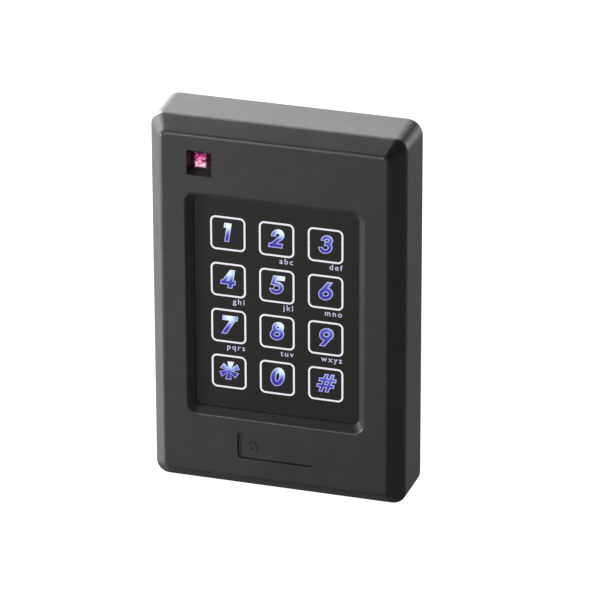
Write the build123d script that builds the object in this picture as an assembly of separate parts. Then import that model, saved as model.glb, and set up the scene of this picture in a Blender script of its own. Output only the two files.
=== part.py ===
"""Wall-mounted keypad access reader, modelled piece by piece.

Frame: millimetres, +Z up, front faces -Y. The origin is the centre of the wall plate's back face, so the
wall is the plane Y = 0 and everything stands out from it along -Y. Depths below are distances from the wall.
"""

import os

from build123d import *

# Outer case
CASE_W = 100.6          # width at the wall side
CASE_H = 151.2          # height at the wall side
CASE_R = 6.0            # corner radius at the wall side
RIM_W = 99.4            # width where the front bevel starts
RIM_H = 150.2           # height where the front bevel starts
RIM_R = 5.2
BEVEL = 5.5             # width of the front bevel, seen from the front
FACE_R = 2.2            # corner radius of the flat face inside the bevel
EDGE_SOFT = 0.8         # rounding of the edge round the flat face
WALL = 2.5              # side wall thickness
FACE_WALL = 2.7         # thickness of the face

# Depths from the wall
CASE_BACK = 1.0         # shadow gap between case and wall
RIM_DEPTH = 19.4
FACE_DEPTH = 25.4
PANEL_DEPTH = 22.3      # front of the keypad faceplate
FACE_INNER = FACE_DEPTH - FACE_WALL
PANEL_THICK = 1.6
BOARD_FRONT = 18.4
BOARD_THICK = 1.6
BOARD_BACK = BOARD_FRONT - BOARD_THICK
COVER_FRONT = 10.0
COVER_THICK = 2.0
COVER_BACK = COVER_FRONT - COVER_THICK
SHEET = 1.6             # wall plate sheet thickness

# Keypad
PITCH = 19.05           # 0.75 in between key centres
KEY = 14.0
KEY_R = 2.3
KEY_GAP = 0.15          # clear gap all round a key in its window
KEY_FLANGE = 15.6
FLANGE_THICK = 0.8
FLANGE_GAP = 0.2        # between the flange and the back of the panel
STEM_R = 1.6
STEM_TIP = 19.05        # where a key's stem meets its dome
DOME_R = 4.1
DOME_RISE = 0.6
KEYS_Z = 1.4            # height of the keypad's centre
COLUMNS = (-1, 0, 1)
ROWS = (1.5, 0.5, -0.5, -1.5)
KEY_NAMES = (
    ("key_1", "key_2", "key_3"),
    ("key_4", "key_5", "key_6"),
    ("key_7", "key_8", "key_9"),
    ("key_star", "key_0", "key_hash"),
)

# Sunk keypad field
FIELD_W = 69.8
FIELD_H = 91.5
FIELD_Z = 0.7
FIELD_R = 4.2
FIELD_SLOPE = 2.6       # how far its sloped walls run in, each side
FIELD_FOOT_W = FIELD_W - 2 * FIELD_SLOPE
FIELD_FOOT_H = FIELD_H - 2 * FIELD_SLOPE
FIELD_FOOT_R = 2.8
GASKET_THICK = FACE_INNER - PANEL_DEPTH
PANEL_W = 69.4
PANEL_H = 91.6
PANEL_R = 4.0

# Status light window
LIGHT_X = -29.0
LIGHT_Z = 58.5
LIGHT_OUT = 10.0
LIGHT_IN = 7.2
LIGHT_DEPTH = 3.6
LIGHT_BOSS = 12.6
LENS = LIGHT_IN - 0.2
LENS_FLANGE = 9.6
LENS_NECK = 0.3         # straight part of the lens below its pyramids
LENS_CELLS = 4
LED = 5.0

# Badge plate
BADGE_W = 30.2
BADGE_H = 11.0
BADGE_Z = -55.9
BADGE_R = 1.5
BADGE_GAP = 0.12        # clear gap round the plate in its pocket
BADGE_THICK = 0.8
BADGE_POCKET = 1.5      # depth of the pocket, so the plate lies 0.7 below the face

# Inside
BOARD_W = 80.0
BOARD_H = 132.0
POST_X = 37.0           # four posts that carry the board
POST_Z = 62.5
POST_R = 2.6
BOARD_SCREW_R = 1.05
CORNER_X = 43.0         # four corner posts that carry the rear cover
CORNER_Z = 68.4
CORNER_R = 3.2
COVER_SCREW_R = 1.25
POST_ROOT = 0.5         # how far a post runs into the face
COIL_W = 79.0
COIL_H = 101.0
COIL_R = 6.0
COIL_BAND = 2.6
COIL_RISE = 2.4
TAMPER_X = 28.0
TAMPER_Z = -52.0
TAMPER_STEM = 2.8
TAMPER_TIP = SHEET + 0.15
TERMINAL_COUNT = 10
TERMINAL_PITCH = 5.08
TERMINAL_Z = -20.0
TERMINAL_H = 8.0
TERMINAL_BACK = 9.0     # where the terminal block's screw face lies
TERMINAL_SCREW_DZ = -1.2

# Rear cover
COVER_W = 94.6
COVER_H = 145.0
COVER_R = 3.2

# Wall plate and hinge
PLATE_W = 92.0
PLATE_H = 142.0
SCREW_SPACING = 83.3    # single-gang wall box
SLOT_R = 2.2
SLOT_LENGTH = 9.0
CABLE_W = 38.0
CABLE_H = 32.0
HOOK_X = 25.0
HOOK_W = 9.0
HINGE_DEPTH = 3.5
HINGE_Z = 70.6
PIN_R = 1.2
PIN_PLAY = 0.3
LOCK_DEPTH = 4.8
LOCK_R = 1.5
LOCK_HEAD_R = 2.75
LOCK_HEAD_H = 1.9
LOCK_PAD_W = 18.0
LIP_THICK = 1.2
TAB_Z = -69.4           # underside of the bent tab
TAB_W = 14.0
TAB_TIP = COVER_BACK - 0.4


def plane(depth, x=0.0, z=0.0):
    """A drawing plane parallel to the wall: X to the right, Z up, pulled out along -Y."""
    return Plane(origin=(x, -depth, z), x_dir=(1, 0, 0), z_dir=(0, -1, 0))


def slab(width, height, depth, back, x=0.0, z=0.0, radius=0.0):
    """A plate between two distances from the wall: its back, and depth further out."""
    outline = RectangleRounded(width, height, radius) if radius else Rectangle(width, height)
    return extrude(plane(back, x, z) * outline, depth)


def disc(radius, depth, back, x=0.0, z=0.0):
    return extrude(plane(back, x, z) * Circle(radius), depth)


def taper(sizes, x=0.0, z=0.0):
    """A straight-sided body through rounded rectangles, each (distance, width, height, radius)."""
    outlines = [plane(d, x, z) * RectangleRounded(w, h, r) for d, w, h, r in sizes]
    return loft([o.face() for o in outlines], ruled=True)


def box(x0, x1, d0, d1, z0, z1):
    """A block between two X values, two distances from the wall and two heights."""
    centre = ((x0 + x1) / 2, -(d0 + d1) / 2, (z0 + z1) / 2)
    return Pos(*centre) * Box(abs(x1 - x0), abs(d1 - d0), abs(z1 - z0))


def corners(x, z):
    return [(sx * x, sz * z) for sx in (-1, 1) for sz in (-1, 1)]


def key_places():
    for row, names in zip(ROWS, KEY_NAMES):
        for column, name in zip(COLUMNS, names):
            yield name, column * PITCH, KEYS_Z + row * PITCH


def group(solids):
    return Compound(children=[s.solid() for s in solids])


def housing():
    """Bevelled front case, with the sunk field, the light window, the badge pocket and its bosses."""
    outer = taper([
        (CASE_BACK, CASE_W, CASE_H, CASE_R),
        (RIM_DEPTH, RIM_W, RIM_H, RIM_R),
        (FACE_DEPTH, RIM_W - 2 * BEVEL, RIM_H - 2 * BEVEL, FACE_R),
    ])
    face_edges = outer.edges().filter_by_position(Axis.Y, -FACE_DEPTH - 0.1, -FACE_DEPTH + 0.1)
    outer = fillet(face_edges, EDGE_SOFT)
    inner = taper([
        (CASE_BACK - 1, CASE_W - 2 * WALL, CASE_H - 2 * WALL, CASE_R - WALL),
        (RIM_DEPTH, RIM_W - 2 * WALL, RIM_H - 2 * WALL, RIM_R - WALL),
        (FACE_INNER, RIM_W - 2 * BEVEL, RIM_H - 2 * BEVEL, FACE_R),
    ])
    body = outer - inner

    for x, z in corners(POST_X, POST_Z):
        body += disc(POST_R, FACE_INNER - BOARD_FRONT + POST_ROOT, BOARD_FRONT, x, z)
    for x, z in corners(CORNER_X, CORNER_Z):
        body += disc(CORNER_R, FACE_INNER - COVER_FRONT + POST_ROOT, COVER_FRONT, x, z) & outer
    body += slab(LIGHT_BOSS, LIGHT_BOSS, LIGHT_DEPTH, FACE_DEPTH - LIGHT_DEPTH, LIGHT_X, LIGHT_Z)
    half_pad = LOCK_PAD_W / 2
    body += box(-half_pad, half_pad, CASE_BACK, TAB_TIP, TAB_Z - 1.0, -CASE_H / 2 + 1) & outer

    for x, z in corners(POST_X, POST_Z):
        body -= disc(BOARD_SCREW_R, 5.0, BOARD_FRONT, x, z)
    for x, z in corners(CORNER_X, CORNER_Z):
        body -= disc(COVER_SCREW_R, 9.0, COVER_FRONT, x, z)
    body -= field_cut() + light_cut()
    body -= slab(BADGE_W, BADGE_H, BADGE_POCKET + 1, FACE_DEPTH - BADGE_POCKET, 0, BADGE_Z, BADGE_R)
    body -= lock_slot(LOCK_R + 0.3, TAB_Z + 1, -CASE_H / 2 - 1)
    body -= lock_slot(LOCK_HEAD_R + 0.5, -CASE_H / 2 + LOCK_HEAD_H + 0.7, -CASE_H / 2 - 1)
    return body


def field_cut():
    """The sloped well that the keypad lies in, cut through the face."""
    return taper([
        (FACE_INNER - 0.1, FIELD_FOOT_W, FIELD_FOOT_H, FIELD_FOOT_R),
        (FACE_INNER, FIELD_FOOT_W, FIELD_FOOT_H, FIELD_FOOT_R),
        (FACE_DEPTH, FIELD_W, FIELD_H, FIELD_R),
        (FACE_DEPTH + 1, FIELD_W, FIELD_H, FIELD_R),
    ], 0, FIELD_Z)


def light_cut():
    """The tapered square well of the status light."""
    back = FACE_DEPTH - LIGHT_DEPTH
    return taper([
        (back - 0.1, LIGHT_IN, LIGHT_IN, 0.25),
        (back, LIGHT_IN, LIGHT_IN, 0.25),
        (FACE_DEPTH, LIGHT_OUT, LIGHT_OUT, 0.4),
        (FACE_DEPTH + 1, LIGHT_OUT, LIGHT_OUT, 0.4),
    ], LIGHT_X, LIGHT_Z)


def lock_slot(half_width, top, bottom):
    """A slot round the lock screw, open towards the wall."""
    height = top - bottom
    round_end = Pos(0, -LOCK_DEPTH, bottom + height / 2) * Cylinder(half_width, height)
    return round_end + box(-half_width, half_width, 0, LOCK_DEPTH, bottom, top)


def gasket():
    """Thin foam frame between the panel and the inside of the face."""
    outer = slab(PANEL_W, PANEL_H, GASKET_THICK, PANEL_DEPTH, 0, FIELD_Z, PANEL_R)
    return outer - slab(FIELD_FOOT_W, FIELD_FOOT_H, 1.0, PANEL_DEPTH - 0.2, 0, FIELD_Z, FIELD_FOOT_R)


def faceplate():
    """Flat keypad panel with one window for each key."""
    back = PANEL_DEPTH - PANEL_THICK
    panel = slab(PANEL_W, PANEL_H, PANEL_THICK, back, 0, FIELD_Z, PANEL_R)
    for _, x, z in key_places():
        window = KEY + 2 * KEY_GAP
        panel -= slab(window, window, PANEL_THICK + 1, back - 0.5, x, z, KEY_R + KEY_GAP)
    return panel


def key(x, z):
    """A key: a cap flush with the panel, a wider flange behind it and a stem to its dome."""
    flange_front = PANEL_DEPTH - PANEL_THICK - FLANGE_GAP
    flange_back = flange_front - FLANGE_THICK
    cap = slab(KEY, KEY, PANEL_DEPTH - flange_front, flange_front, x, z, KEY_R)
    flange = slab(KEY_FLANGE, KEY_FLANGE, FLANGE_THICK, flange_back, x, z, KEY_R)
    stem = disc(STEM_R, flange_back - STEM_TIP, STEM_TIP, x, z)
    return cap + flange + stem


def lens():
    """Square light window lens, its front cut into small pyramids."""
    front = FACE_DEPTH - LIGHT_DEPTH
    flange = slab(LENS_FLANGE, LENS_FLANGE, 0.9, front - 0.9, LIGHT_X, LIGHT_Z)
    neck = slab(LENS, LENS, LENS_NECK, front, LIGHT_X, LIGHT_Z)
    cell = LENS / LENS_CELLS
    body = flange + neck
    for i in range(LENS_CELLS):
        for j in range(LENS_CELLS):
            x = LIGHT_X + (i - (LENS_CELLS - 1) / 2) * cell
            z = LIGHT_Z + (j - (LENS_CELLS - 1) / 2) * cell
            base = plane(front + LENS_NECK, x, z) * Rectangle(cell, cell)
            body += extrude(base, 0.5, taper=38)
    return body


def status_led():
    """Square surface-mount light on the board, behind the lens."""
    body = slab(LED, LED, 1.5, BOARD_FRONT, LIGHT_X, LIGHT_Z)
    return body - disc(2.0, 1.0, BOARD_FRONT + 1.2, LIGHT_X, LIGHT_Z)


def badge():
    """Blank name plate lying a little below the face in its pocket."""
    width = BADGE_W - 2 * BADGE_GAP
    height = BADGE_H - 2 * BADGE_GAP
    return slab(width, height, BADGE_THICK, FACE_DEPTH - BADGE_POCKET, 0, BADGE_Z, BADGE_R - BADGE_GAP)


def main_board():
    """Circuit board, screwed to the four posts through clearance holes."""
    board = slab(BOARD_W, BOARD_H, BOARD_THICK, BOARD_BACK, 0, 0, 1.5)
    for x, z in corners(POST_X, POST_Z):
        board -= disc(1.4, BOARD_THICK + 1, BOARD_BACK - 0.5, x, z)
    return board


def dome_film():
    """Thin film that holds the domes, with a round hole over each."""
    film = slab(58.0, 77.0, 0.15, BOARD_FRONT, 0, KEYS_Z, 2.0)
    for _, x, z in key_places():
        film -= disc(4.4, 1.0, BOARD_FRONT - 0.5, x, z)
    for x, z in backlight_places():
        film -= slab(2.0, 2.0, 1.0, BOARD_FRONT - 0.5, x, z)
    return film


def domes():
    """Snap domes, one under each key: shallow caps that buckle when pressed."""
    ball = (DOME_R ** 2 + DOME_RISE ** 2) / (2 * DOME_RISE)
    room = 2 * DOME_R + 1
    caps = []
    for _, x, z in key_places():
        sphere = Pos(x, -(BOARD_FRONT + DOME_RISE - ball), z) * Sphere(ball)
        caps.append(sphere & slab(room, room, DOME_RISE + 1, BOARD_FRONT, x, z))
    return group(caps)


def backlight_places():
    """Two small lights behind each key, above and below its dome."""
    for _, x, z in key_places():
        yield x, z + 6.0
        yield x, z - 6.0


def backlights():
    return group([slab(1.6, 0.8, 0.6, BOARD_FRONT, x, z) for x, z in backlight_places()])


def antenna_coil():
    """Flat winding round the keypad, lying on the board."""
    outer = slab(COIL_W, COIL_H, COIL_RISE, BOARD_FRONT, 0, FIELD_Z, COIL_R)
    width = COIL_W - 2 * COIL_BAND
    height = COIL_H - 2 * COIL_BAND
    return outer - slab(width, height, COIL_RISE + 1, BOARD_FRONT - 0.5, 0, FIELD_Z, COIL_R - COIL_BAND)


def behind(width, height, rise, x, z):
    """A block standing on the back of the board, towards the wall."""
    return slab(width, height, rise, BOARD_BACK - rise, x, z)


def chip(width, height, rise, x, z, pins):
    """A chip body with its rows of legs, left and right."""
    body = behind(width, height, rise, x, z)
    step = height / pins
    for i in range(pins):
        leg_z = z + (i - (pins - 1) / 2) * step
        body += behind(width + 2.4, step * 0.45, rise * 0.35, x, leg_z)
    return body


def capacitors():
    places = [(-26.0, -48.0), (-15.5, -48.0), (24.0, 44.0)]
    return group([disc(3.15, 5.4, BOARD_BACK - 5.4, x, z) for x, z in places])


def suppressors():
    return group([behind(2.6, 4.4, 2.2, -20.0 + 6.5 * i, -36.0) for i in range(7)])


def buzzer():
    """Round sounder with a hole in its middle."""
    body = disc(6.0, 5.2, BOARD_BACK - 5.2, -24.0, 46.0)
    return body - disc(1.0, 3.0, BOARD_BACK - 5.7, -24.0, 46.0)


def tamper_switch():
    """Switch body with a square guide for its plunger."""
    body = behind(7.0, 7.0, 6.0, TAMPER_X, TAMPER_Z)
    return body - slab(3.2, 3.2, 5.0, BOARD_BACK - 6.5, TAMPER_X, TAMPER_Z)


def tamper_plunger():
    """Sprung plunger that bears on the wall plate through the rear cover."""
    stem = slab(TAMPER_STEM, TAMPER_STEM, 11.4, TAMPER_TIP, TAMPER_X, TAMPER_Z)
    return stem + slab(4.2, 4.2, 2.4, TAMPER_TIP, TAMPER_X, TAMPER_Z, 0.8)


def terminal_x(index):
    return (index - (TERMINAL_COUNT - 1) / 2) * TERMINAL_PITCH


def terminal_block():
    """Screw terminal block: a screw well and a wire mouth for each way."""
    rise = BOARD_BACK - TERMINAL_BACK
    body = behind(TERMINAL_COUNT * TERMINAL_PITCH, TERMINAL_H, rise, 0, TERMINAL_Z)
    for i in range(TERMINAL_COUNT):
        x = terminal_x(i)
        body -= disc(1.9, 4.0, TERMINAL_BACK - 0.5, x, TERMINAL_Z + TERMINAL_SCREW_DZ)
        mouth = TERMINAL_Z + 2.0
        body -= box(x - 1.5, x + 1.5, TERMINAL_BACK - 0.5, TERMINAL_BACK + 2.5, mouth, mouth + 3.0)
    return body


def terminal_screws():
    """Slotted screws, each standing in its well."""
    seat = TERMINAL_BACK + 0.9
    z = TERMINAL_Z + TERMINAL_SCREW_DZ
    screws = []
    for i in range(TERMINAL_COUNT):
        x = terminal_x(i)
        head = disc(1.75, 2.6, seat, x, z) - box(x - 2, x + 2, seat - 0.5, seat + 0.6, z - 0.25, z + 0.25)
        screws.append(head)
    return group(screws)


def cross_screw(x, z, seat, head_r, head_h, shank_r, length):
    """Pan head screw driven from the wall side, its head resting on seat."""
    head = disc(head_r, head_h, seat - head_h, x, z)
    head = fillet(head.edges().group_by(Axis.Y)[-1], head_h * 0.45)
    shank = disc(shank_r, length, seat, x, z)
    slot = head_r * 0.62
    cross = box(x - slot, x + slot, 0, seat - head_h * 0.45, z - 0.3, z + 0.3)
    cross += box(x - 0.3, x + 0.3, 0, seat - head_h * 0.45, z - slot, z + slot)
    return head + shank - cross


def board_screws():
    places = corners(POST_X, POST_Z)
    return group([cross_screw(x, z, BOARD_BACK, 2.2, 1.6, BOARD_SCREW_R, 5.6) for x, z in places])


def cover_screws():
    places = corners(CORNER_X, CORNER_Z)
    return group([cross_screw(x, z, COVER_BACK, 2.6, 1.8, COVER_SCREW_R, 9.0) for x, z in places])


def rear_cover():
    """Back panel of the case, with the terminal window and the two hinge pins on their arms."""
    cover = slab(COVER_W, COVER_H, COVER_THICK, COVER_BACK, 0, 0, COVER_R)
    for x, z in corners(CORNER_X, CORNER_Z):
        cover -= disc(1.5, 4, COVER_BACK - 1, x, z)
    terminal_window = TERMINAL_COUNT * TERMINAL_PITCH + 1.6
    cover -= slab(terminal_window, TERMINAL_H + 1.6, 4, COVER_BACK - 1, 0, TERMINAL_Z)
    cover -= slab(TAMPER_STEM + 0.6, TAMPER_STEM + 0.6, 4, COVER_BACK - 1, TAMPER_X, TAMPER_Z)
    arm = HINGE_Z + PIN_R
    for side in (-1, 1):
        for x in (side * HOOK_X - HOOK_W / 2 - 1.5, side * HOOK_X + HOOK_W / 2 + 0.3):
            cover += box(x, x + 1.2, HINGE_DEPTH, COVER_BACK, HINGE_Z - PIN_R, arm)
        pin = Cylinder(PIN_R, HOOK_W + 3.0)
        cover += Pos(side * HOOK_X, -HINGE_DEPTH, HINGE_Z) * Rot(0, 90, 0) * pin
    return cover


def wall_plate():
    """Steel sheet plate: screw slots, cable opening, two bent hooks and the bent lock tab."""
    plate = slab(PLATE_W, PLATE_H, SHEET, 0, 0, 0, 4.0)
    plate -= slab(CABLE_W, CABLE_H, SHEET + 1, -0.5, 0, 0, 3.0)
    for z in (-SCREW_SPACING / 2, SCREW_SPACING / 2):
        slot = plane(-0.5, 0, z) * Rot(0, 0, 90) * SlotOverall(SLOT_LENGTH, 2 * SLOT_R)
        plate -= extrude(slot, SHEET + 1)

    trough = HINGE_Z - PIN_R - 0.2
    lip_back = HINGE_DEPTH + PIN_R + PIN_PLAY
    lip_front = lip_back + LIP_THICK
    for side in (-1, 1):
        x0 = side * HOOK_X - HOOK_W / 2
        x1 = side * HOOK_X + HOOK_W / 2
        plate -= box(x0 - 2.0, x1 + 2.0, -1, SHEET + 1, trough + 0.01, PLATE_H / 2 + 1)
        plate += box(x0, x1, 0, SHEET, trough - 0.01, HINGE_Z - 0.1)
        plate += box(x0, x1, 0, lip_front, trough - 1.3, trough)
        plate += box(x0, x1, lip_back, lip_front, trough - 1.3, HINGE_Z + 0.4)

    notch = LOCK_PAD_W / 2 + 2.0
    plate -= box(-notch, notch, -1, SHEET + 1, -PLATE_H / 2 - 1, TAB_Z)
    plate += box(-TAB_W / 2, TAB_W / 2, 0, TAB_TIP, TAB_Z, TAB_Z + SHEET)
    hole = Pos(0, -LOCK_DEPTH, TAB_Z) * Cylinder(LOCK_R, 8)
    return plate - hole


def lock_screw():
    """Screw driven up from below through the case's slot into the plate's tab."""
    head_top = -CASE_H / 2 + LOCK_HEAD_H + 0.2
    head = Pos(0, -LOCK_DEPTH, head_top - LOCK_HEAD_H / 2) * Cylinder(LOCK_HEAD_R, LOCK_HEAD_H)
    head = fillet(head.edges().group_by(Axis.Z)[0], 0.6)
    shank_top = TAB_Z + SHEET + 1.0
    shank_length = shank_top - head_top
    shank = Pos(0, -LOCK_DEPTH, head_top + shank_length / 2) * Cylinder(LOCK_R, shank_length)
    socket = extrude(Plane.XY * Pos(0, -LOCK_DEPTH) * RegularPolygon(1.2, 6), 1.2)
    return head + shank - Pos(0, 0, head_top - LOCK_HEAD_H) * socket


def build():
    parts = {
        "wall_plate": wall_plate(),
        "lock_screw": lock_screw(),
        "front_housing": housing(),
        "keypad_gasket": gasket(),
        "keypad_faceplate": faceplate(),
        "light_lens": lens(),
        "status_led": status_led(),
        "badge_plate": badge(),
        "main_board": main_board(),
        "dome_film": dome_film(),
        "snap_domes": domes(),
        "backlight_leds": backlights(),
        "antenna_coil": antenna_coil(),
        "microcontroller": chip(9.0, 9.0, 1.4, -2.0, 18.0, 11),
        "reader_chip": chip(5.0, 8.0, 1.6, 16.0, 22.0, 7),
        "crystal": behind(3.2, 7.0, 2.2, -14.0, 18.0),
        "voltage_regulator": chip(6.5, 6.0, 2.3, 4.0, -48.0, 3),
        "capacitors": capacitors(),
        "surge_suppressors": suppressors(),
        "buzzer": buzzer(),
        "tamper_switch": tamper_switch(),
        "tamper_plunger": tamper_plunger(),
        "terminal_block": terminal_block(),
        "terminal_screws": terminal_screws(),
        "board_screws": board_screws(),
        "rear_cover": rear_cover(),
        "cover_screws": cover_screws(),
    }
    for name, x, z in key_places():
        parts[name] = key(x, z)
    return parts


os.makedirs("parts", exist_ok=True)
for node, shape in build().items():
    export_step(shape, f"parts/{node}.step")
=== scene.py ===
"""Looks of a wall-mounted keypad access reader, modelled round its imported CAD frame.

Sizes are in millimetres and turned to metres by MM. Depths are distances from the wall along -Y.
A value with three sizes is an outline parallel to the wall: width, height and corner radius.
"""

import math

import bpy
from mathutils import Matrix, Vector


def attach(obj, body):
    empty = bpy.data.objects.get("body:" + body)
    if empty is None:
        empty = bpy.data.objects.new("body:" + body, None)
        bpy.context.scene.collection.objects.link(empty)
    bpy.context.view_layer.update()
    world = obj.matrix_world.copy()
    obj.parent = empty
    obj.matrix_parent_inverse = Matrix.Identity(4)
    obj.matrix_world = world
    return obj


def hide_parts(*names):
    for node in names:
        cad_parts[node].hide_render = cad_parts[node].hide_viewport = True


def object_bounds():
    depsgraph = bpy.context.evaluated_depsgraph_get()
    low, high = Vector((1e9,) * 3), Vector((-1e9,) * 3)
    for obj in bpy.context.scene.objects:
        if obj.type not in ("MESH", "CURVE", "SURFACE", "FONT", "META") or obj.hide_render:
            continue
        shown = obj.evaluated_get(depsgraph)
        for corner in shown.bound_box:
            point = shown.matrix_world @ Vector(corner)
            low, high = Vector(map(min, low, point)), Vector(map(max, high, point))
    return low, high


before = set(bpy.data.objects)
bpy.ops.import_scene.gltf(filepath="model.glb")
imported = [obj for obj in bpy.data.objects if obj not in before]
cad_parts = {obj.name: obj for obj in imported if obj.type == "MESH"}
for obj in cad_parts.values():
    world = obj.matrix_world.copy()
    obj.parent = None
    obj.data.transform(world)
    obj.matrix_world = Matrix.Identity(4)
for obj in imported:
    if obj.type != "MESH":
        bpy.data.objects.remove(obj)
cad_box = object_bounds()

MM = 0.001

# Case: its outline at the back, at the rim where the bevel starts, and at the face
CASE_BACK = 1.0
RIM_DEPTH = 19.4
FACE_DEPTH = 25.4
FACE_INNER = 22.7
CASE = (100.6, 151.2, 6.0)
RIM = (99.4, 150.2, 5.2)
FACE = (88.4, 139.2, 2.2)
WALL = 2.5
RIM_ROUND = 0.9
FACE_ROUND = 1.1
OVERCUT = 1.0           # how far a cutter runs past the surface that it opens

# Sunk keypad field, light well and badge, each centred on x, z
FIELD = (69.8, 91.5, 4.2)
FIELD_Z = 0.7
FIELD_SLOPE = 2.6       # how far its walls lean in, down to the inside of the face
FIELD_CORNER_STEP = 1.4
FIELD_CUT = 3.4
FIELD_ROUND = 0.4
LIGHT_X = -29.0
LIGHT_Z = 58.5
LIGHT_OUT = 10.0
LIGHT_IN = 7.2
LIGHT_DEPTH = 3.6
LIGHT_CORNER = 0.4
LIGHT_CORNER_STEP = 0.1
BADGE = (30.2, 11.0, 1.5)
BADGE_Z = -55.9
BADGE_POCKET = 1.5
BADGE_THICK = 0.8
BADGE_GAP = 0.12

# Lock slot at the bottom
LOCK_DEPTH = 4.8
LOCK_SLOT_R = 1.8
LOCK_SLOT_TOP = -68.4
LOCK_BORE_R = 3.25
LOCK_BORE_TOP = -73.0
CASE_BOTTOM = -CASE[1] / 2

# Posts inside the case, four for the board and four in the corners for the rear cover, and two pads
POST_R = 2.6
POST_BACK = 18.4
POST_X = 37.0
POST_Z = 62.5
POST_HOLE_R = 1.05
POST_HOLE = (18.0, 22.4)        # from and to, in depth
CORNER_R = 3.2
CORNER_BACK = 10.0
CORNER_X = 43.0
CORNER_Z = 68.4
CORNER_HOLE_R = 1.25
CORNER_HOLE = (9.0, 19.0)
POST_FRONT = 23.2
LIGHT_BOSS = (12.6, 12.6, 0.6)
LIGHT_BOSS_FRONT = 24.0
LOCK_PAD = (18.0, 4.2, 0.3)
LOCK_PAD_Z = -72.5
LOCK_PAD_FRONT = 7.6

# Status light lens: pyramids on a square base, with a skirt behind
LENS = LIGHT_IN - 0.2
LENS_GRID = 4
LENS_PEAK = 0.5
LENS_SIDE = 0.4
LENS_STAND = 0.3
LENS_SKIRT = (9.6, 9.6, 0.3)
SKIRT_THICK = 0.9

# Padlock sign on the badge: its body, the shackle's bow on two legs, and the keyhole
PADLOCK = (4.2, 3.2, 0.5)
PADLOCK_X = -9.5
PADLOCK_Z = BADGE_Z - 1.1
PADLOCK_RISE = 0.2
BOW_Z = BADGE_Z + 0.6
BOW = (1.45, 1.7)
BOW_WIDTH = 0.5
LEG_X = 1.2
KEYHOLE = (0.45, 0.6)

# Keypad
PANEL_DEPTH = 22.3
PANEL_THICK = 1.6
PANEL = (69.4, 91.6, 4.0)
FLANGE_GAP = 0.2
FLANGE_DEPTH = PANEL_DEPTH - PANEL_THICK - FLANGE_GAP
FLANGE = (15.6, 15.6, 2.3)
FLANGE_THICK = 0.8
STEM_R = 1.6
STEM_BACK = 19.6        # clear of its dome by the stroke of the key
PITCH = 19.05
KEYS_Z = 1.4
KEY = 14.0
KEY_R = 2.3
KEY_GAP = 0.15
KEY_ROUND = 0.12
LINE_INSET = 0.1
LINE_WIDTH = 0.72
LINE_RISE = 0.03
LINE_SUNK = 0.1
PRINT = 0.02            # how far print stands out from a key, enough to show
SIGN_RIM = 0.42
SIGN_SIZE = 0.945
SIGN_SLANT = 0.15
SIGN_SHIFT = 0.15       # right of the middle of a key, as SIGN_RISE is above it
SIGN_RISE = 0.47
LETTER_EM = 3.2
LETTER_WEIGHT = 0.04
LETTER_SPACE = 1.33
LETTER_RIGHT = 6.45
LETTER_BASE = -9.6
LAMP_LOOKS = [(0.3, 1.0), (1.9, 1.0), (1.9, 0.4)]    # place and strength of the lamp spot, by column
LAMP_RISE = 3.5
KEYS = [
    ("key_1", "1", ""), ("key_2", "2", "abc"), ("key_3", "3", "def"),
    ("key_4", "4", "ghi"), ("key_5", "5", "jkl"), ("key_6", "6", "mno"),
    ("key_7", "7", "pqrs"), ("key_8", "8", "tuv"), ("key_9", "9", "wxyz"),
    ("key_star", "*", ""), ("key_0", "0", ""), ("key_hash", "#", ""),
]

# Lights: name, place in metres, power in watts, size in metres; and how bright the floor is, as
# mirrored in the reader and as seen
LAMPS = [
    ("over_behind", (-0.2, 0.9, 0.8), 6.8, 0.9),
    ("left_over", (-1.0, 0.45, 0.6), 90.0, 0.5),
    ("left_low", (-0.9, 0.4, 0.05), 1.9, 0.24),
    ("near_left", (-0.4, -0.2, 0.0), 1.3, 0.14),
    ("front_low", (-0.3, -1.0, 0.0), 1.2, 0.14),
    ("front_edge", (-0.42, -1.12, 0.39), 2.4, 0.2),
    ("right_behind", (0.9, 0.9, 0.1), 9.5, 0.7),
]
FLOOR_GLOW = 0.17
FLOOR_SEEN = 1.1


# ---------------------------------------------------------------- modelling helpers

def deselect():
    if bpy.context.mode != "OBJECT":
        bpy.ops.object.mode_set(mode="OBJECT")
    bpy.ops.object.select_all(action="DESELECT")


def work_on(*objects):
    deselect()
    for piece in objects:
        piece.select_set(True)
    bpy.context.view_layer.objects.active = objects[0]
    return objects[0]


def settle(piece):
    """Puts the place, turn and size of a piece into its mesh."""
    work_on(piece)
    bpy.ops.object.transform_apply(location=True, rotation=True, scale=True)
    return piece


def edit(piece, select_mode="VERT"):
    work_on(piece)
    bpy.ops.object.mode_set(mode="EDIT")
    bpy.ops.mesh.select_mode(type=select_mode)


def pick_edges(piece, wanted):
    """Selects the edges whose two ends satisfy wanted(a, b), in millimetres, ready for an edit."""
    edit(piece, "EDGE")
    bpy.ops.mesh.select_all(action="DESELECT")
    bpy.ops.object.mode_set(mode="OBJECT")
    verts = piece.data.vertices
    for e in piece.data.edges:
        a, b = (verts[i].co / MM for i in e.vertices)
        e.select = bool(wanted(a, b))
    bpy.ops.object.mode_set(mode="EDIT")


def at_depth(*depths):
    """True for an edge that lies at one of these distances from the wall."""
    def wanted(a, b):
        return abs(a.y - b.y) < 0.01 and any(abs(a.y + d) < 0.01 for d in depths)
    return wanted


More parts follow.
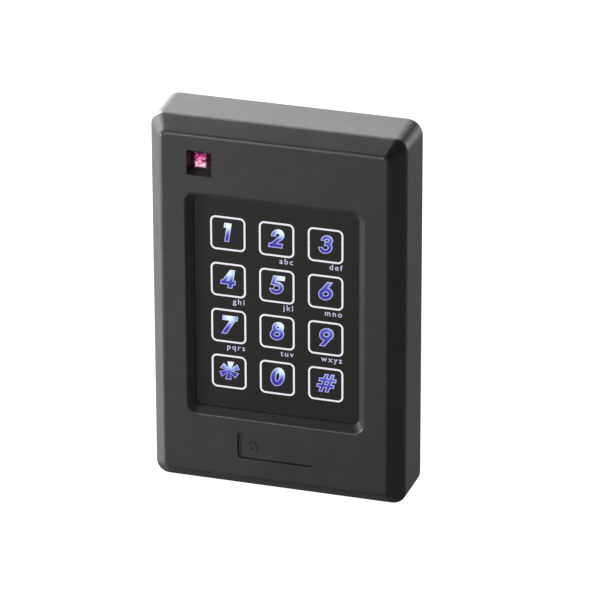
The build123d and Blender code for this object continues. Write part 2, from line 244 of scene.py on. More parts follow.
def outline(depth, width, height, radius, x, z, steps):
    """A closed rounded rectangle of edges, parallel to the wall."""
    deselect()
    place = (x * MM, -depth * MM, z * MM)
    bpy.ops.mesh.primitive_plane_add(size=MM, location=place, rotation=(math.pi / 2, 0, 0))
    ring = bpy.context.active_object
    ring.scale = (width, height, 1)
    settle(ring)
    edit(ring)
    bpy.ops.mesh.select_all(action="SELECT")
    if radius:
        bpy.ops.mesh.bevel(offset=radius * MM, segments=steps, affect="VERTICES")
    bpy.ops.mesh.delete(type="ONLY_FACE")
    bpy.ops.object.mode_set(mode="OBJECT")
    return ring


def body_through(name, levels, x=0.0, z=0.0, steps=8, capped=True):
    """A closed body whose skin bridges rounded rectangles, each (depth, width, height, radius)."""
    rings = [outline(*level, x, z, steps) for level in levels]
    body = work_on(*rings)
    bpy.ops.object.join()
    body.name = body.data.name = name
    for near, far in zip(levels, levels[1:]):
        pick_edges(body, at_depth(near[0], far[0]))
        bpy.ops.mesh.bridge_edge_loops()
    if capped:
        for level in (levels[0], levels[-1]):
            pick_edges(body, at_depth(level[0]))
            bpy.ops.mesh.edge_face_add()
    bpy.ops.mesh.select_all(action="SELECT")
    bpy.ops.mesh.normals_make_consistent(inside=False)
    bpy.ops.object.mode_set(mode="OBJECT")
    return body


def slab(name, size, back, front, x=0.0, z=0.0, steps=8):
    """A plate between two distances from the wall; size is (width, height, corner radius)."""
    return body_through(name, [(back, *size), (front, *size)], x, z, steps)


def rod(name, radius, back, front, x, z, sides=32):
    deselect()
    place = (x * MM, -(back + front) / 2 * MM, z * MM)
    bpy.ops.mesh.primitive_cylinder_add(
        vertices=sides, radius=radius * MM, depth=(front - back) * MM,
        location=place, rotation=(math.pi / 2, 0, 0))
    piece = bpy.context.active_object
    piece.name = piece.data.name = name
    return settle(piece)


def soften(piece, wanted, width, steps=3):
    """Rounds the edges that wanted picks."""
    pick_edges(piece, wanted)
    bpy.ops.mesh.bevel(offset=width * MM, segments=steps, affect="EDGES", clamp_overlap=True)
    bpy.ops.object.mode_set(mode="OBJECT")


def carve(piece, tools, operation="DIFFERENCE"):
    """Cuts the tools out of a piece, or adds them to it, and removes them."""
    for tool in tools:
        modifier = piece.modifiers.new("carve", "BOOLEAN")
        modifier.operation = operation
        modifier.solver = "EXACT"
        modifier.object = tool
        work_on(piece)
        bpy.ops.object.modifier_apply(modifier=modifier.name)
        bpy.data.objects.remove(tool)
    return piece


def finish_piece(piece, material, body, smooth=30):
    """Smooth shading, material and body of a finished piece."""
    work_on(piece)
    bpy.ops.object.shade_smooth_by_angle(angle=math.radians(smooth))
    flat_faces = piece.modifiers.new("flat_faces", "WEIGHTED_NORMAL")
    flat_faces.keep_sharp = True
    bpy.ops.object.modifier_apply(modifier=flat_faces.name)
    piece.data.materials.clear()
    piece.data.materials.append(material)
    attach(piece, body)
    return piece


# ---------------------------------------------------------------- material helpers

def colour(code, alpha=1.0):
    """A hex sRGB colour as linear red, green, blue and alpha."""
    values = [int(code[i:i + 2], 16) / 255 for i in (0, 2, 4)]
    linear = [v / 12.92 if v <= 0.04045 else ((v + 0.055) / 1.055) ** 2.4 for v in values]
    return (*linear, alpha)


def node(tree, kind, links=None, **settings):
    """Adds a node, sets its properties and inputs, and links outputs of other nodes to its inputs."""
    made = tree.nodes.new(kind)
    for name, value in settings.items():
        if hasattr(made, name):
            setattr(made, name, value)
        else:
            made.inputs[name.replace("_", " ")].default_value = value
    for socket, source in (links or {}).items():
        tree.links.new(source, made.inputs[socket])
    return made


def finish_of(name, base, roughness, **inputs):
    """A new material: its tree, its shader and object coordinates."""
    material = bpy.data.materials.new(name)
    material.use_nodes = True
    tree = material.node_tree
    shader = tree.nodes["Principled BSDF"]
    shader.inputs["Base Color"].default_value = colour(base)
    shader.inputs["Roughness"].default_value = roughness
    for key, value in inputs.items():
        shader.inputs[key.replace("_", " ")].default_value = value
    place = node(tree, "ShaderNodeTexCoord").outputs["Object"]
    return material, tree, shader, place


def grain(tree, place, size_mm, detail=2.0, stretch=None):
    """Noise whose features are about size_mm across."""
    if stretch:
        mapping = node(tree, "ShaderNodeMapping", {"Vector": place})
        mapping.inputs["Scale"].default_value = stretch
        place = mapping.outputs["Vector"]
    noise = node(tree, "ShaderNodeTexNoise", {"Vector": place}, Scale=1 / (size_mm * MM), Detail=detail)
    return noise.outputs["Fac"]


def spread(tree, fac, low, high):
    """Maps a 0 to 1 pattern to a range of values."""
    ranged = node(
        tree, "ShaderNodeMapRange", {"Value": fac},
        From_Min=0.3, From_Max=0.7, To_Min=low, To_Max=high)
    return ranged.outputs["Result"]


def shades(tree, fac, *stops):
    """A colour ramp; stops are (position, hex colour)."""
    ramp = node(tree, "ShaderNodeValToRGB", {"Fac": fac})
    elements = ramp.color_ramp.elements
    while len(elements) < len(stops):
        elements.new(0.5)
    for element, (position, code) in zip(elements, stops):
        element.position = position
        element.color = colour(code)
    return ramp.outputs["Color"]


def across(tree, place, x, z, stretch=1.0):
    """Position across the front from a point; depth is left out."""
    moved = node(tree, "ShaderNodeVectorMath", {0: place}, operation="SUBTRACT")
    moved.inputs[1].default_value = (x * MM, 0, z * MM)
    level = node(tree, "ShaderNodeVectorMath", {0: moved.outputs["Vector"]}, operation="MULTIPLY")
    level.inputs[1].default_value = (stretch, 0, 1)
    return level.outputs["Vector"]


def relief(tree, shader, height, strength, depth_mm):
    """Bump of a given real depth."""
    bump = node(tree, "ShaderNodeBump", {"Height": height}, Strength=strength, Distance=depth_mm * MM)
    tree.links.new(bump.outputs["Normal"], shader.inputs["Normal"])


# ---------------------------------------------------------------- materials

def case_plastic():
    """Moulded ABS with a spark-eroded grain: dull charcoal, rubbed smoother on the rounded front edges."""
    material, tree, shader, place = finish_of("case_abs_grained", "3f3f40", 0.48, Specular_IOR_Level=0.5)
    fine = grain(tree, place, 0.55, 3.0)
    broad = grain(tree, place, 9.0, 2.0)
    tree.links.new(shades(tree, broad, (0.3, "3c3c3d"), (0.7, "424242")), shader.inputs["Base Color"])
    depth = node(tree, "ShaderNodeSeparateXYZ", {"Vector": place}).outputs["Y"]
    step = node(
        tree, "ShaderNodeMapRange", {"Value": depth},
        From_Min=-(FACE_DEPTH - 0.4) * MM, From_Max=-FACE_DEPTH * MM)
    rubbed = shades(
        tree, step.outputs["Result"],
        (0.2, "000000"), (0.4, "ffffff"), (0.82, "ffffff"), (0.97, "000000"))
    dull = spread(tree, fine, 0.42, 0.56)
    smoother = node(tree, "ShaderNodeMath", {0: rubbed, 2: dull}, operation="MULTIPLY_ADD")
    smoother.inputs[1].default_value = -0.16
    tree.links.new(smoother.outputs["Value"], shader.inputs["Roughness"])
    relief(tree, shader, fine, 0.55, 0.05)
    return material


def panel_plastic():
    """Screen-printed polycarbonate: nearly black, faintly brown, with a satin gloss."""
    material, tree, shader, place = finish_of("panel_black_satin", "242320", 0.32)
    fine = grain(tree, place, 0.4, 2.0)
    tree.links.new(spread(tree, fine, 0.28, 0.38), shader.inputs["Roughness"])
    relief(tree, shader, fine, 0.2, 0.01)
    return material


def ink():
    """White print lit from behind: nearly even white, a touch of lilac."""
    material, tree, shader, place = finish_of("white_print_lit", "8a8890", 0.5, Emission_Strength=0.85)
    speck = grain(tree, place, 0.6, 2.0)
    tint = shades(tree, speck, (0.3, "e2dfea"), (0.7, "fbf9ff"))
    tree.links.new(tint, shader.inputs["Emission Color"])
    return material


def letter_light():
    """Small letters lit from behind: pale lavender, dimmer than the outlines."""
    material, tree, shader, place = finish_of("letter_print_lit", "50506a", 0.5, Emission_Strength=0.85)
    speck = grain(tree, place, 0.5, 2.0)
    tint = shades(tree, speck, (0.3, "bcbce0"), (0.7, "dcdcf8"))
    tree.links.new(tint, shader.inputs["Emission Color"])
    return material


def lamp_glow(tree, place, x, z, hot):
    """0 at the lamp behind a key's sign, 1 far from it; hot says how strongly it shows."""
    far = node(tree, "ShaderNodeVectorMath", {0: across(tree, place, x, z)}, operation="LENGTH")
    span = node(
        tree, "ShaderNodeMapRange", {"Value": far.outputs["Value"]},
        From_Min=0.5 * MM, From_Max=4.9 * MM, To_Min=1.0 - hot, To_Max=1.0)
    return span.outputs["Result"]


def lit_rim(name, x, z, hot):
    """Rim of a backlit digit: lavender light leaking round its print, whiter near the lamp."""
    material, tree, shader, place = finish_of(name, "303048", 0.4, Emission_Strength=1.0)
    tint = shades(
        tree, lamp_glow(tree, place, x, z, hot),
        (0.0, "f4fcff"), (0.35, "c9dcf8"), (0.7, "b4b6f0"), (1.0, "a9a4e6"))
    tree.links.new(tint, shader.inputs["Emission Color"])
    return material


def lit_fill(name, x, z, hot):
    """Middle of a backlit digit: deep blue, pale cyan near the lamp."""
    material, tree, shader, place = finish_of(name, "14143c", 0.35, Emission_Strength=1.0)
    tint = shades(
        tree, lamp_glow(tree, place, x, z, hot),
        (0.0, "f0fcff"), (0.2, "d6ecfc"), (0.45, "93a6e8"), (0.7, "5058ba"), (1.0, "33309a"))
    tree.links.new(tint, shader.inputs["Emission Color"])
    return material


def lens_plastic():
    """Clear red acrylic cut into facets, with its light painted in as emission: a painted pink and white
    sparkle per facet in the middle, painted glow whiter lower down, and painted shade fading it to violet
    dark at the rim.
    """
    material, tree, shader, place = finish_of("lens_red_acrylic_painted_glow", "2a0420", 0.12, Coat_Weight=0.4)
    middle = across(tree, place, LIGHT_X - 0.5, LIGHT_Z + 0.1, 1.3)
    axes = node(tree, "ShaderNodeSeparateXYZ", {"Vector": middle})
    side_x = node(tree, "ShaderNodeMath", {0: axes.outputs["X"]}, operation="ABSOLUTE").outputs["Value"]
    side_z = node(tree, "ShaderNodeMath", {0: axes.outputs["Z"]}, operation="ABSOLUTE").outputs["Value"]
    square = node(tree, "ShaderNodeMath", {0: side_x, 1: side_z}, operation="MAXIMUM")
    # painted shade: the glow fades to almost nothing towards the rim of the lens
    rim = node(
        tree, "ShaderNodeMapRange", {"Value": square.outputs["Value"]},
        From_Min=2.3 * MM, From_Max=3.0 * MM, To_Min=1.0, To_Max=0.03)
    # painted sparkle: each facet cell gets its own glow brightness
    painted_sparkle_cells = node(tree, "ShaderNodeTexVoronoi", {"Vector": place}, Scale=1 / (1.3 * MM))
    # painted glow, whiter towards the bottom of the lens
    painted_glow_low_side = node(
        tree, "ShaderNodeMapRange", {"Value": axes.outputs["Z"]},
        From_Min=-2.5 * MM, From_Max=2.5 * MM, To_Min=-0.25, To_Max=0.2)
    sources = {0: painted_sparkle_cells.outputs["Distance"], 1: painted_glow_low_side.outputs["Result"]}
    painted_sparkle_and_glow = node(tree, "ShaderNodeMath", sources, operation="ADD")
    tint = shades(
        tree, painted_sparkle_and_glow.outputs["Value"],
        (0.0, "fff4fb"), (0.3, "f0a4c6"), (0.55, "cf4f8c"), (0.8, "8a1c50"), (1.0, "3a1260"))
    tree.links.new(tint, shader.inputs["Emission Color"])
    # the lens's glow is painted as emission, full in the middle and dimmed at the rim
    tree.links.new(rim.outputs["Result"], shader.inputs["Emission Strength"])
    return material


def foam():
    """Closed-cell foam: black, dead matt, with fine pores."""
    material, tree, shader, place = finish_of("foam_black", "121212", 0.9)
    relief(tree, shader, grain(tree, place, 0.3, 3.0), 0.6, 0.05)
    return material


def zinc_sheet():
    """Zinc-plated pressed steel: pale grey, faintly blue and straw, with rolling lines."""
    material, tree, shader, place = finish_of("zinc_plated_sheet", "a9adb0", 0.36, Metallic=1.0)
    lines = grain(tree, place, 0.5, 3.0, (1.0, 1.0, 0.05))
    cloud = grain(tree, place, 20.0, 2.0)
    tint = shades(tree, cloud, (0.3, "a7abae"), (0.55, "aeafad"), (0.75, "b1afa7"))
    tree.links.new(tint, shader.inputs["Base Color"])
    tree.links.new(spread(tree, lines, 0.32, 0.4), shader.inputs["Roughness"])
    relief(tree, shader, lines, 0.15, 0.005)
    return material


def zinc_screw():
    """Plated screws: bright grey with turning marks."""
    material, tree, shader, place = finish_of("zinc_plated_screw", "b8b8b4", 0.28, Metallic=1.0)
    tree.links.new(spread(tree, grain(tree, place, 0.5, 3.0), 0.2, 0.4), shader.inputs["Roughness"])
    return material


def cover_plastic():
    """Moulded ABS back: black with a coarser grain than the case."""
    material, tree, shader, place = finish_of("cover_abs_grained", "262626", 0.5)
    fine = grain(tree, place, 0.8, 3.0)
    tree.links.new(spread(tree, fine, 0.42, 0.62), shader.inputs["Roughness"])
    relief(tree, shader, fine, 0.6, 0.06)
    return material


def laminate():
    """Solder mask over woven glass: glossy green with the weave showing faintly."""
    material, tree, shader, place = finish_of("board_green_mask", "0d5a2c", 0.3, Coat_Weight=0.3)
    weave = node(tree, "ShaderNodeTexWave", {"Vector": place}, Scale=1 / (1.6 * MM), Distortion=0.4)
    tint = shades(tree, weave.outputs["Fac"], (0.2, "0b4f27"), (0.8, "116233"))
    tree.links.new(tint, shader.inputs["Base Color"])
    relief(tree, shader, weave.outputs["Fac"], 0.15, 0.02)
    return material


def plain(name, base, roughness, size_mm, depth_mm=0.01, **inputs):
    """A small part's finish: one colour, with roughness and relief broken up by fine grain."""
    material, tree, shader, place = finish_of(name, base, roughness, **inputs)
    fine = grain(tree, place, size_mm, 2.0)
    tree.links.new(spread(tree, fine, roughness * 0.8, roughness * 1.2), shader.inputs["Roughness"])
    relief(tree, shader, fine, 0.3, depth_mm)
    return material


CASE_ABS = case_plastic()
PANEL_BLACK = panel_plastic()
WHITE_INK = ink()
LETTER_LIGHT = letter_light()
LENS_RED = lens_plastic()
FOAM = foam()
CLEAR_FILM = plain("film_polyester", "b9b9b0", 0.25, 1.0)


# ---------------------------------------------------------------- case

def slanted(size, slope, run, depth_in, r_step):
    """Width, height and radius of a tapered well's outline, depth_in below the face."""
    width, height, radius = size
    inset = slope * depth_in / run
    return (width - 2 * inset, height - 2 * inset, radius - r_step * depth_in / run)


def field_cutter():
    """Tapered cutter of the sunk keypad field."""
    run = FACE_DEPTH - FACE_INNER
    levels = [
        (FACE_DEPTH - d, *slanted(FIELD, FIELD_SLOPE, run, d, FIELD_CORNER_STEP))
        for d in (FIELD_CUT, -OVERCUT)
    ]
    return body_through("field_cutter", levels, 0, FIELD_Z)


def light_cutter():
    """Tapered cutter of the square light well."""
    size = (LIGHT_OUT, LIGHT_OUT, LIGHT_CORNER)
    slope = (LIGHT_OUT - LIGHT_IN) / 2
    levels = [
        (FACE_DEPTH - d, *slanted(size, slope, LIGHT_DEPTH, d, LIGHT_CORNER_STEP))
        for d in (LIGHT_DEPTH + 0.2, -OVERCUT)
    ]
    return body_through("light_cutter", levels, LIGHT_X, LIGHT_Z, 3)


def lock_slot(radius, top):
    """The two cutters of an upright slot round the lock screw, open towards the wall."""
    bottom = CASE_BOTTOM - OVERCUT
    deselect()
    place = (0, -LOCK_DEPTH * MM, (bottom + top) / 2 * MM)
    bpy.ops.mesh.primitive_cylinder_add(radius=radius * MM, depth=(top - bottom) * MM, location=place)
    round_end = settle(bpy.context.active_object)
    size = (2 * radius, top - bottom, 0)
    return [round_end, slab("slot", size, -OVERCUT, LOCK_DEPTH, 0, (bottom + top) / 2)]


def case_shell():
    """Bevelled front case, hollow behind, with its wells, posts, lock pad and badge pocket."""
    levels = [(CASE_BACK, *CASE), (RIM_DEPTH, *RIM), (FACE_DEPTH, *FACE)]
    shell = body_through("front_housing_shell", levels)
    soften(shell, at_depth(RIM_DEPTH), RIM_ROUND, 4)
    soften(shell, at_depth(FACE_DEPTH), FACE_ROUND, 4)

    inner = [(CASE_BACK - OVERCUT, CASE), (RIM_DEPTH, RIM)]
    levels = [(d, w - 2 * WALL, h - 2 * WALL, r - WALL) for d, (w, h, r) in inner]
    hollow = body_through("hollow", levels + [(FACE_INNER, *FACE)])
    carve(shell, [hollow])

    corners = [(x, z) for x in (-1, 1) for z in (-1, 1)]
    posts = [(x * POST_X, z * POST_Z) for x, z in corners]
    outer_posts = [(x * CORNER_X, z * CORNER_Z) for x, z in corners]
    solids = [rod("post", POST_R, POST_BACK, POST_FRONT, *place) for place in posts]
    solids += [rod("post", CORNER_R, CORNER_BACK, POST_FRONT, *place) for place in outer_posts]
    boss_back = FACE_DEPTH - LIGHT_DEPTH
    solids.append(slab("light_boss", LIGHT_BOSS, boss_back, LIGHT_BOSS_FRONT, LIGHT_X, LIGHT_Z, 3))
    solids.append(slab("lock_pad", LOCK_PAD, CASE_BACK, LOCK_PAD_FRONT, 0, LOCK_PAD_Z, 3))
    carve(shell, solids, "UNION")

    pocket = slab("pocket", BADGE, FACE_DEPTH - BADGE_POCKET, FACE_DEPTH + OVERCUT, 0, BADGE_Z)
    cutters = [field_cutter(), light_cutter(), pocket]
    cutters += lock_slot(LOCK_SLOT_R, LOCK_SLOT_TOP) + lock_slot(LOCK_BORE_R, LOCK_BORE_TOP)
    cutters += [rod("hole", POST_HOLE_R, *POST_HOLE, *place, 16) for place in posts]
    cutters += [rod("hole", CORNER_HOLE_R, *CORNER_HOLE, *place, 16) for place in outer_posts]
    return carve(shell, cutters)


def near_field(a, b):
    """The upper rim of the sunk field."""
    on_face = at_depth(FACE_DEPTH)(a, b)
    half_w = FIELD[0] / 2 + 0.05
    half_h = FIELD[1] / 2 + 0.05
    inside = all(abs(v.x) < half_w and abs(v.z - FIELD_Z) < half_h for v in (a, b))
    return on_face and inside


shell = case_shell()
soften(shell, near_field, FIELD_ROUND, 3)
finish_piece(shell, CASE_ABS, "reader")
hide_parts("front_housing")


# ---------------------------------------------------------------- keypad

def key_place(index):
    return (index % 3 - 1) * PITCH, KEYS_Z + (1.5 - index // 3) * PITCH


def faceplate():
    """Flat panel with a window for each key."""
    back = PANEL_DEPTH - PANEL_THICK
    panel = slab("keypad_panel", PANEL, back, PANEL_DEPTH, 0, FIELD_Z)
    size = KEY + 2 * KEY_GAP
    windows = []
    for index in range(len(KEYS)):
        x, z = key_place(index)
        outer = (size, size, KEY_R + KEY_GAP)
        windows.append(slab("window", outer, back - OVERCUT, PANEL_DEPTH + OVERCUT, x, z))
    carve(panel, windows)
    finish_piece(panel, PANEL_BLACK, "reader")
    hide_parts("keypad_faceplate")


def key_cap(name, x, z):
    """Key cap with softened edges, its flange and its stem."""
    back = FLANGE_DEPTH - FLANGE_THICK
    cap = slab(name + "_cap", (KEY, KEY, KEY_R), back, PANEL_DEPTH, x, z)
    soften(cap, at_depth(PANEL_DEPTH), KEY_ROUND, 2)
    flange = slab("flange", FLANGE, back, FLANGE_DEPTH, x, z)
    stem = rod("stem", STEM_R, STEM_BACK, FLANGE_DEPTH - FLANGE_THICK / 2, x, z, 24)
    carve(cap, [flange, stem], "UNION")
    finish_piece(cap, PANEL_BLACK, name)
    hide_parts(name)


def printed_line(name, x, z):
    """The white line printed round a key."""
    size = KEY - 2 * LINE_INSET
    outer = (size, size, KEY_R - LINE_INSET)
    inner = (size - 2 * LINE_WIDTH, size - 2 * LINE_WIDTH, KEY_R - LINE_INSET - LINE_WIDTH)
    line = slab(name + "_line", outer, PANEL_DEPTH - LINE_SUNK, PANEL_DEPTH + LINE_RISE, x, z)
    middle = slab("line_middle", inner, PANEL_DEPTH - OVERCUT, PANEL_DEPTH + OVERCUT, x, z)
    carve(line, [middle])
    finish_piece(line, WHITE_INK, name)


def oval(x, z, half_width, half_height, back, front):
    """A low cylinder with an oval outline."""
    deselect()
    bpy.ops.mesh.primitive_cylinder_add(
        vertices=48, radius=MM, depth=(front - back) * MM,
        location=(x * MM, -(back + front) / 2 * MM, z * MM), rotation=(math.pi / 2, 0, 0))
    piece = bpy.context.active_object
    piece.scale = (half_width, half_height, 1)
    return settle(piece)


def lean_over(piece, lean, z):
    """Slants a piece to the right, about the height z."""
    for v in piece.data.vertices:
        v.co.x += lean * (v.co.z - z * MM)
    return piece


def bar(grow, back, front, x0, z0, x1, z1, width):
    """A straight stroke between two heights, with level ends."""
    lean = (x1 - x0) / (z1 - z0)
    level_width = (width + 2 * grow) * math.hypot(1, lean)
    middle = (z0 + z1) / 2
    piece = slab("stroke", (level_width, z1 - z0 + 2 * grow, 0), back, front, (x0 + x1) / 2, middle)
    return lean_over(piece, lean, middle)


def flat(grow, back, front, x0, x1, z, width):
    """A level stroke."""
    return slab("stroke", (x1 - x0 + 2 * grow, width + 2 * grow, 0), back, front, (x0 + x1) / 2, z)


def ring(grow, back, front, x, z, half_w, half_h, width, gap=None):
    """An oval stroke; gap is a box left, right, bottom, top that opens it."""
    piece = oval(x, z, half_w + grow, half_h + grow, back, front)
    inset = width + grow
    back -= OVERCUT
    front += OVERCUT
    tools = [oval(x, z, half_w - inset, half_h - inset, back, front)]
    if gap:
        left, right, low, high = gap
        size = (right - left - 2 * grow, high - low - 2 * grow, 0)
        tools.append(slab("gap", size, back, front, (left + right) / 2, (low + high) / 2))
    return carve(piece, tools)


def arm(grow, back, front, turn, width, reach):
    """One arm of the star: a wedge from the middle outwards."""
    length = reach + grow
    piece = slab("stroke", (length, width + 2 * grow, 0), back, front, length / 2, 0)
    for v in piece.data.vertices:
        if v.co.x < 0.1 * MM:
            v.co.z *= 0.3
    piece.rotation_euler = (0, -math.radians(turn), 0)
    return settle(piece)


# Each sign is drawn upright round its own middle, from -TALL to TALL, in the strokes above. After a
# stroke's name come its places and width. The rim of a sign is the same strokes with grow added all
# round.
TALL = 3.65
SIGNS = {
    "1": [(bar, -0.1, -TALL, -0.1, TALL, 1.15), (flat, -1.75, 0.1, 3.0, 1.3)],
    "2": [(ring, 0.1, 1.35, 2.3, 2.3, 1.1, (-6, 0.7, -4, 1.2)), (bar, -1.75, -3.3, 1.4, 0.6, 1.15),
          (flat, -2.6, 2.4, -3.05, 1.2)],
    "3": [(ring, 0.1, 1.75, 2.1, 1.9, 1.1, (-6, -0.3, -2, 1.9)),
          (ring, 0, -1.35, 2.45, 2.3, 1.1, (-6, -0.3, -1.7, 2.2))],
    "4": [(bar, -2.0, -1.7, 0.95, TALL, 1.1), (flat, -2.75, 2.7, -1.5, 1.15),
          (bar, 1.05, -TALL, 1.05, TALL, 1.35)],
    "5": [(flat, -1.5, 2.4, 3.05, 1.2), (bar, -1.75, 0.2, -1.3, TALL, 1.1),
          (ring, -0.1, -1.3, 2.55, 2.35, 1.1, (-6, -0.9, -2.0, 0.3))],
    "6": [(ring, 0, -1.2, 2.6, 2.45, 1.3), (bar, -1.65, -0.6, 0.9, TALL, 1.3)],
    "7": [(flat, -2.8, 2.8, 3.0, 1.3), (bar, -1.4, -TALL, 1.9, TALL, 1.35)],
    "8": [(ring, 0, 1.6, 2.1, 2.05, 1.2), (ring, 0, -1.4, 2.55, 2.25, 1.25)],
    "9": [(ring, 0, 1.2, 2.6, 2.45, 1.3), (bar, -0.9, -TALL, 1.65, 0.6, 1.3)],
    "0": [(ring, 0, 0, 2.55, 3.75, 1.5)],
    "*": [(arm, turn, 1.9, 3.6) for turn in range(30, 390, 60)],
    "#": [(bar, -1.65, -TALL, -0.35, TALL, 0.85), (bar, 0.85, -TALL, 2.15, TALL, 0.85),
          (flat, -2.85, 3.65, 1.3, 0.85), (flat, -3.35, 3.15, -1.3, 0.85)],
}


def sign(name, character, grow, rise, x, z):
    """The digit or sign of a key, grown all round, as a plate standing out by rise."""
    back = PANEL_DEPTH - PRINT
    front = PANEL_DEPTH + rise
    strokes = [draw(grow, back, front, *shape) for draw, *shape in SIGNS[character]]
    piece = carve(strokes[0], strokes[1:], "UNION")
    piece.name = piece.data.name = name
    lean_over(piece, SIGN_SLANT, 0)
    piece.scale = (SIGN_SIZE, 1, SIGN_SIZE)
    piece.location = ((x + SIGN_SHIFT) * MM, 0, (z + SIGN_RISE) * MM)
    return settle(piece)


def lettering(name, text, x, z):
    """Small type, as a thin mesh that faces the room and ends at x on the base line z."""
    deselect()
    bpy.ops.object.text_add(rotation=(math.pi / 2, 0, 0))
    curve = bpy.context.active_object.data
    curve.body = text
    curve.align_x = "RIGHT"
    curve.size = LETTER_EM * MM
    curve.space_character = LETTER_SPACE
    curve.offset = LETTER_WEIGHT * MM
    curve.extrude = PRINT * MM
    curve.resolution_u = 6
    bpy.ops.object.convert(target="MESH")
    piece = bpy.context.active_object
    piece.name = piece.data.name = name
    piece.location = (x * MM, -PANEL_DEPTH * MM, z * MM)
    return settle(piece)


def key(index):
    name, character, letters = KEYS[index]
    x, z = key_place(index)
    lamp_x, hot = LAMP_LOOKS[index % 3]
    lamp = (x + lamp_x, z + LAMP_RISE, hot)
    key_cap(name, x, z)
    printed_line(name, x, z)
    rim = sign(name + "_sign_rim", character, SIGN_RIM, PRINT, x, z)
    finish_piece(rim, lit_rim("digit_rim_" + name, *lamp), name)
    middle = sign(name + "_sign", character, 0.0, 2 * PRINT, x, z)
    finish_piece(middle, lit_fill("digit_glow_" + name, *lamp), name)
    if letters:
        label = lettering(name + "_letters", letters, x + LETTER_RIGHT, z + LETTER_BASE)
        finish_piece(label, LETTER_LIGHT, "reader")


faceplate()
for index in range(len(KEYS)):
    key(index)


# ---------------------------------------------------------------- light lens and badge

def lens():
    """Square red lens: a grid poked into small pyramids, with its skirt behind."""
    deselect()
    front = FACE_DEPTH - LIGHT_DEPTH
    bpy.ops.mesh.primitive_grid_add(
        x_subdivisions=LENS_GRID, y_subdivisions=LENS_GRID, size=LENS * MM,
        location=(LIGHT_X * MM, -(front + LENS_STAND) * MM, LIGHT_Z * MM),
        rotation=(math.pi / 2, 0, 0))
    facets = settle(bpy.context.active_object)
    facets.name = facets.data.name = "light_lens_facets"
    edit(facets, "FACE")
    bpy.ops.mesh.select_all(action="SELECT")
    bpy.ops.mesh.poke(offset=LENS_PEAK * MM)
    bpy.ops.mesh.select_all(action="SELECT")
    bpy.ops.mesh.region_to_loop()
    bpy.ops.mesh.extrude_region_move(TRANSFORM_OT_translate={"value": (0, LENS_SIDE * MM, 0)})
    bpy.ops.mesh.edge_face_add()
    bpy.ops.mesh.select_all(action="SELECT")
    bpy.ops.mesh.normals_make_consistent(inside=False)
    bpy.ops.object.mode_set(mode="OBJECT")
    finish_piece(facets, LENS_RED, "reader", smooth=5)
    back = front - SKIRT_THICK
    skirt = slab("light_lens_skirt", LENS_SKIRT, back, front, LIGHT_X, LIGHT_Z, 2)
    soften(skirt, at_depth(front, back), 0.1, 1)
    finish_piece(skirt, LENS_RED, "reader")
    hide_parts("light_lens")


def badge():
    """Blank plate in its pocket, with a plain padlock sign raised on it."""
    back = FACE_DEPTH - BADGE_POCKET
    front = back + BADGE_THICK
    width, height, radius = BADGE
    size = (width - 2 * BADGE_GAP, height - 2 * BADGE_GAP, radius - BADGE_GAP)
    plate = slab("badge_face", size, back, front, 0, BADGE_Z)
    soften(plate, at_depth(front), 0.15, 2)
    top = front + PADLOCK_RISE
    body = slab("lock_body", PADLOCK, back, top, PADLOCK_X, PADLOCK_Z, 3)
    lower_half = (PADLOCK_X - 3, PADLOCK_X + 3, BOW_Z - 3, BOW_Z - 0.2)
    bow = ring(0, back, top, PADLOCK_X, BOW_Z, *BOW, BOW_WIDTH, lower_half)
    sides = (PADLOCK_X - LEG_X, PADLOCK_X + LEG_X)
    legs = [bar(0, back, top, x, BOW_Z - 0.8, x, BOW_Z, BOW_WIDTH) for x in sides]
    carve(plate, [body, bow, *legs], "UNION")
    carve(plate, [oval(PADLOCK_X, PADLOCK_Z, *KEYHOLE, front - 0.1, front + OVERCUT)])
    finish_piece(plate, CASE_ABS, "reader")
    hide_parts("badge_plate")


lens()
badge()


# ---------------------------------------------------------------- CAD nodes that stay

def dress():
    """Gives each remaining CAD node the finish of its real material."""
    sheet = zinc_sheet()
    screw = zinc_screw()
    epoxy = plain("chip_epoxy", "1a1a1b", 0.55, 0.5)
    finishes = {
        "wall_plate": sheet,
        "lock_screw": screw,
        "cover_screws": screw,
        "board_screws": screw,
        "terminal_screws": screw,
        "rear_cover": cover_plastic(),
        "keypad_gasket": FOAM,
        "main_board": laminate(),
        "dome_film": CLEAR_FILM,
        "snap_domes": plain("dome_stainless", "c2c0ba", 0.25, 0.6, Metallic=1.0),
        "backlight_leds": plain("led_package", "e6e4d8", 0.4, 0.4),
        "antenna_coil": plain("enamelled_copper", "b4592a", 0.3, 0.3, 0.08, Metallic=1.0),
        "microcontroller": epoxy,
        "reader_chip": epoxy,
        "voltage_regulator": epoxy,
        "surge_suppressors": epoxy,
        "crystal": plain("crystal_can", "b9b9b6", 0.3, 0.8, Metallic=1.0),
        "capacitors": plain("capacitor_sleeve", "23304f", 0.3, 0.8),
        "buzzer": plain("buzzer_case", "161616", 0.45, 0.6),
        "tamper_switch": plain("switch_body", "1f1f22", 0.4, 0.6),
        "tamper_plunger": plain("acetal_white", "d9d8cf", 0.4, 0.8),
        "terminal_block": plain("terminal_nylon", "1f7a40", 0.45, 0.7, 0.03),
    }
    finishes["status_led"] = finishes["backlight_leds"]
    for name, material in finishes.items():
        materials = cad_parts[name].data.materials
        materials.clear()
        materials.append(material)


dress()


# ---------------------------------------------------------------- floor, lights, camera

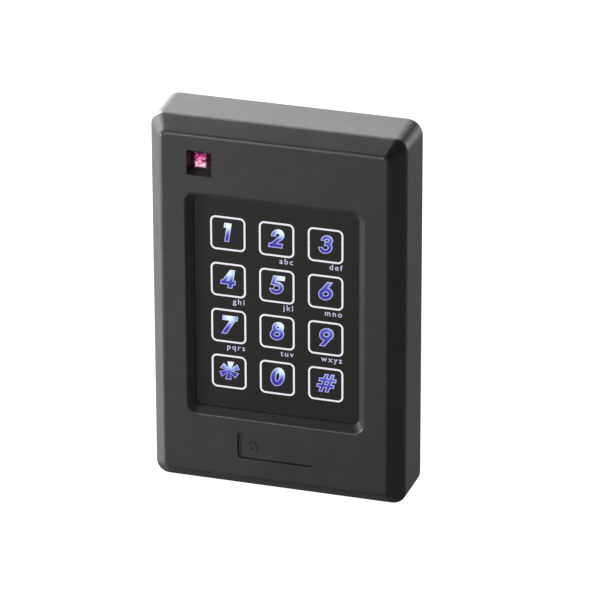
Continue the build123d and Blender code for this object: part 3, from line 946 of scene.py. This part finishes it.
def floor():
    """Paper floor below the reader: white to the eye, dim in what the reader mirrors."""
    deselect()
    low = cad_box[0][2]
    bpy.ops.mesh.primitive_plane_add(size=6, location=(0, 0, low - 0.0005))
    ground = bpy.context.active_object
    ground.name = "floor"
    settle(ground)
    material, tree, shader, place = finish_of("floor_paper", "1a1a1a", 0.9)
    shader.inputs["Emission Color"].default_value = colour("ffffff")
    seen = node(tree, "ShaderNodeLightPath").outputs["Is Camera Ray"]
    level = node(tree, "ShaderNodeMapRange", {"Value": seen}, To_Min=FLOOR_GLOW, To_Max=FLOOR_SEEN)
    tree.links.new(level.outputs["Result"], shader.inputs["Emission Strength"])
    tree.links.new(spread(tree, grain(tree, place, 40.0), 0.86, 0.94), shader.inputs["Roughness"])
    ground.data.materials.append(material)
    ground.visible_diffuse = False


def softbox(name, place, power, size):
    """A square soft light that faces the reader."""
    data = bpy.data.lights.new(name, "AREA")
    data.energy = power
    data.size = size
    lamp = bpy.data.objects.new(name, data)
    bpy.context.scene.collection.objects.link(lamp)
    lamp.location = place
    lamp.rotation_euler = (Vector((0, 0, 0)) - Vector(place)).to_track_quat("-Z", "Y").to_euler()


def sky():
    """White behind the reader, which gives no light."""
    world = bpy.data.worlds.new("studio")
    world.use_nodes = True
    tree = world.node_tree
    back = tree.nodes["Background"]
    back.inputs["Color"].default_value = (1, 1, 1, 1)
    seen = node(tree, "ShaderNodeLightPath").outputs["Is Camera Ray"]
    tree.links.new(seen, back.inputs["Strength"])
    bpy.context.scene.world = world


def camera():
    """A long lens to the right of the reader and above it, looking down at it, in metres."""
    azimuth, elevation, roll = (math.radians(v) for v in (17.07, 24.89, -0.19))
    distance = 1.876
    target = Vector((7.11, -16.0, 3.35)) * MM
    level = math.cos(elevation)
    direction = Vector((math.sin(azimuth) * level, -math.cos(azimuth) * level, math.sin(elevation)))
    data = bpy.data.cameras.new("camera")
    data.lens = 300.0
    data.sensor_width = 36.0
    data.clip_start = 0.05
    eye = bpy.data.objects.new("camera", data)
    bpy.context.scene.collection.objects.link(eye)
    eye.location = target + direction * distance
    aim = (-direction).to_track_quat("-Z", "Y").to_matrix().to_4x4()
    eye.rotation_euler = (aim @ Matrix.Rotation(roll, 4, "Z")).to_euler()
    bpy.context.scene.camera = eye


floor()
sky()
for lamp in LAMPS:
    softbox(*lamp)
camera()
bpy.context.scene.view_settings.view_transform = "Standard"
